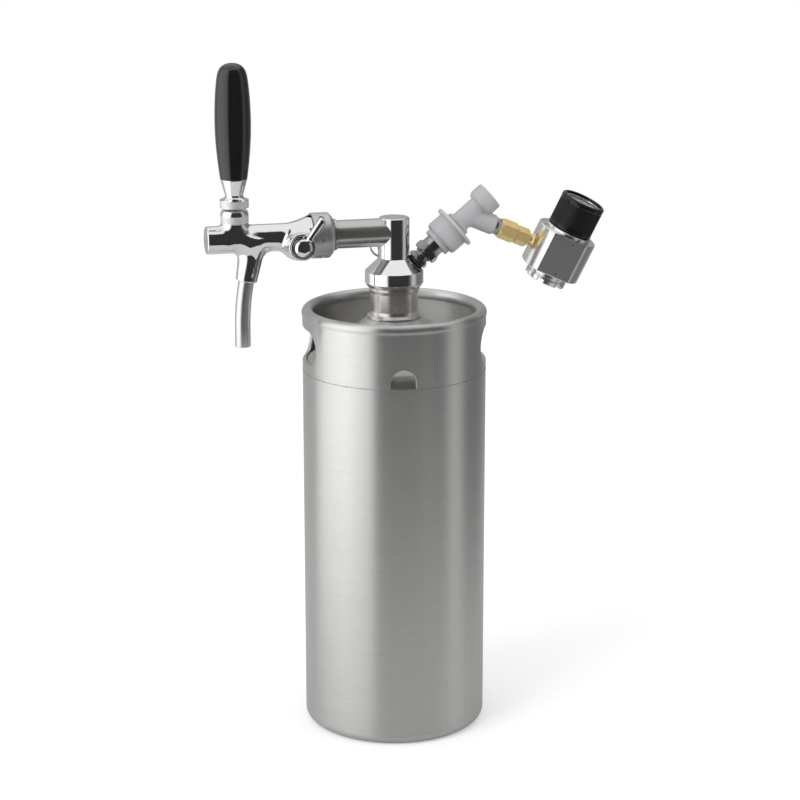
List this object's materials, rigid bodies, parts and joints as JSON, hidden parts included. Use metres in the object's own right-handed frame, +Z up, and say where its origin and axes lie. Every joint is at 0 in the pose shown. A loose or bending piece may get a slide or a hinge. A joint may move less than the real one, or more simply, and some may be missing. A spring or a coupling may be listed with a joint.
{
  "type": "mini keg beer dispenser",
  "caption": "Steel mini keg with a screw-in tap head: lever faucet with flow control on one side, gas disconnect with a small cartridge regulator on the other.",
  "frame": {"origin": "centre of the keg's foot ring, on the surface it stands on", "axes": "+Z up along the keg's axis; +X through a hand slot, to the side the regulator hangs on; -Y towards the viewer"},
  "size_m": [0.2907, 0.134, 0.4922],
  "materials": {
    "keg_steel": "satin, brushed around",
    "polished_steel": "polished",
    "satin_steel": "satin",
    "rubber": "matte",
    "white_plastic": "matte",
    "black_gloss": "gloss",
    "grey_plastic": "matte",
    "brass": "satin",
    "regulator_metal": "polished with satin flats",
    "black_knob": "matte, knurled",
    "spring_steel": "plain",
    "dial_metal": "satin",
    "needle": "matte",
    "lens": "clear"
  },
  "bodies": {
    "keg": {"keg_shell": "keg_steel", "keg_shoulder": "keg_steel", "keg_neck": "keg_steel", "keg_collar": "keg_steel"},
    "neck_seal": {"neck_gasket": "rubber"},
    "spear": {"dip_tube": "polished_steel", "dip_tube_ring": "rubber"},
    "head": {"dispenser_cap": "polished_steel", "riser_column": "polished_steel", "shank_tube": "polished_steel", "faucet_washer": "rubber", "post_washer": "rubber", "post_adapter": "satin_steel", "gas_post": "satin_steel", "post_ring": "rubber", "post_spring": "spring_steel", "relief_body": "satin_steel", "relief_spring": "spring_steel"},
    "coupling_nut": {"coupling_nut": "satin_steel"},
    "faucet": {"faucet_body": "polished_steel", "spout_tube": "polished_steel", "bonnet": "polished_steel", "lever_washer": "white_plastic"},
    "lever": {"tap_lever": "polished_steel", "handle_collar": "polished_steel", "handle_ferrule": "polished_steel", "handle_grip": "black_gloss"},
    "valve": {"valve_shaft": "polished_steel", "valve_seal": "rubber"},
    "flow_control": {"flow_hub": "polished_steel", "flow_lever": "polished_steel"},
    "compensator": {"compensator": "white_plastic"},
    "relief_stem": {"relief_stem": "satin_steel", "relief_seal": "rubber"},
    "pull_ring": {"relief_ring": "satin_steel"},
    "poppet": {"post_poppet": "spring_steel"},
    "disconnect": {"disconnect_body": "grey_plastic", "locking_balls": "spring_steel", "disconnect_cap": "grey_plastic", "sleeve_spring": "spring_steel", "disconnect_spring": "spring_steel"},
    "sleeve": {"disconnect_sleeve": "grey_plastic"},
    "disconnect_pin": {"disconnect_pin": "spring_steel"},
    "flare_seal": {"flare_washer": "rubber"},
    "regulator": {"flare_fitting": "brass", "regulator_body": "regulator_metal", "regulator_bonnet": "regulator_metal", "diaphragm": "rubber", "diaphragm_plate": "spring_steel", "cartridge_adapter": "regulator_metal", "piercing_pin": "spring_steel", "adapter_seal": "rubber", "regulating_spring": "spring_steel"},
    "swivel_nut": {"swivel_nut": "brass"},
    "spring_seat": {"spring_seat": "spring_steel"},
    "knob": {"adjuster_knob": "black_knob", "adjusting_screw": "spring_steel", "gauge_dial": "dial_metal", "gauge_lens": "lens"},
    "needle": {"gauge_needle": "needle"}
  },
  "joints": [
    {"name": "head_lift", "type": "slide", "parent": "keg", "child": "neck_seal", "axis": [0, 0, 1], "range_m": [0, 0.33]},
    {"name": "head_thread_rise", "type": "slide", "parent": "neck_seal", "child": "spear", "axis": [0, 0, 1], "range_m": [0, 0.009]},
    {"name": "head_unscrew", "type": "hinge", "parent": "spear", "child": "head", "pos_m": [0, 0, 0.329], "axis": [0, 0, 1], "range_deg": [0, 1080]},
    {"name": "coupling_nut_turn", "type": "hinge", "parent": "head", "child": "coupling_nut", "pos_m": [-0.04535, -0.00637, 0.3682], "axis": [0.9903, 0.1392, 0], "range_deg": [0, 1620.05]},
    {"name": "faucet_release", "type": "slide", "parent": "head", "child": "faucet", "axis": [-0.9903, -0.1392, 0], "range_m": [0, 0.0081]},
    {"name": "tap_lever_pull", "type": "hinge", "parent": "faucet", "child": "lever", "pos_m": [-0.11447, -0.01609, 0.3825], "axis": [0.1392, -0.9903, 0], "range_deg": [0, 30]},
    {"name": "valve_slide", "type": "slide", "parent": "faucet", "child": "valve", "axis": [0.9903, 0.1392, 0], "range_m": [0, 0.0056]},
    {"name": "flow_lever_turn", "type": "hinge", "parent": "faucet", "child": "flow_control", "pos_m": [-0.06739, -0.03068, 0.3642], "axis": [-0.1392, 0.9903, 0], "range_deg": [-100.05, 20.05]},
    {"name": "compensator_slide", "type": "slide", "parent": "faucet", "child": "compensator", "axis": [0.9903, 0.1392, 0], "range_m": [-0.00216, 0.00043]},
    {"name": "relief_pull", "type": "slide", "parent": "head", "child": "relief_stem", "axis": [-0.1072, 0.763, 0.6374], "range_m": [0, 0.0025], "stiffness_N_per_m": 3000, "springref_m": -0.004, "deforming": ["relief_spring"]},
    {"name": "pull_ring_swing", "type": "hinge", "parent": "relief_stem", "child": "pull_ring", "pos_m": [-0.00493, 0.03509, 0.36202], "axis": [-0.9903, -0.1392, 0], "range_deg": [-100, 20]},
    {"name": "poppet_slide", "type": "slide", "parent": "head", "child": "poppet", "axis": [-0.763, -0.1072, -0.6374], "range_m": [0, 0.0015], "stiffness_N_per_m": 800, "springref_m": -0.004, "deforming": ["post_spring"]},
    {"name": "disconnect_swivel", "type": "hinge", "parent": "head", "child": "disconnect", "pos_m": [0.03051, 0.00429, 0.35819], "axis": [0.763, 0.1072, 0.6374], "continuous": true},
    {"name": "sleeve_lift", "type": "slide", "parent": "disconnect", "child": "sleeve", "axis": [0.763, 0.1072, 0.6374], "range_m": [0, 0.0034], "stiffness_N_per_m": 500, "springref_m": -0.006, "deforming": ["sleeve_spring"]},
    {"name": "disconnect_pin_slide", "type": "slide", "parent": "disconnect", "child": "disconnect_pin", "axis": [0.763, 0.1072, 0.6374], "range_m": [0, 0.0015], "stiffness_N_per_m": 500, "springref_m": -0.004, "deforming": ["disconnect_spring"]},
    {"name": "regulator_release", "type": "slide", "parent": "disconnect", "child": "flare_seal", "axis": [0.9088, 0.1277, -0.3971], "range_m": [0, 0.00635]},
    {"name": "regulator_turn", "type": "hinge", "parent": "flare_seal", "child": "regulator", "pos_m": [0.08478, 0.01192, 0.36467], "axis": [0.9088, 0.1277, -0.3971], "range_deg": [-180, 180]},
    {"name": "swivel_nut_turn", "type": "hinge", "parent": "regulator", "child": "swivel_nut", "pos_m": [0.07696, 0.01082, 0.36809], "axis": [0.9088, 0.1277, -0.3971], "range_deg": [0, 1800.05]},
    {"name": "adjuster_turn", "type": "hinge", "parent": "regulator", "child": "knob", "pos_m": [0.12993, 0.01505, 0.36477], "axis": [0.4115, -0.1175, 0.9038], "range_deg": [0, 1080.05]},
    {"name": "spring_seat_slide", "type": "slide", "parent": "regulator", "child": "spring_seat", "axis": [-0.4115, 0.1175, -0.9038], "range_m": [0, 0.0045], "deforming": ["regulating_spring"]},
    {"name": "gauge_needle_turn", "type": "hinge", "parent": "knob", "child": "needle", "pos_m": [0.13724, 0.01297, 0.38081], "axis": [-0.4115, 0.1175, -0.9038], "range_deg": [0, 270]}
  ],
  "couplings": [
    {"joint": "head_thread_rise", "follows": "head_unscrew", "m_per_rad": 0.00047746},
    {"joint": "coupling_nut_turn", "follows": "faucet_release", "rad_per_m": 3490.7},
    {"joint": "valve_slide", "follows": "tap_lever_pull", "m_per_rad": 0.010504},
    {"joint": "flow_lever_turn", "follows": "compensator_slide", "rad_per_m": 806.45},
    {"joint": "swivel_nut_turn", "follows": "regulator_release", "rad_per_m": 4947.4},
    {"joint": "adjuster_turn", "follows": "spring_seat_slide", "rad_per_m": 4188.8}
  ]
}
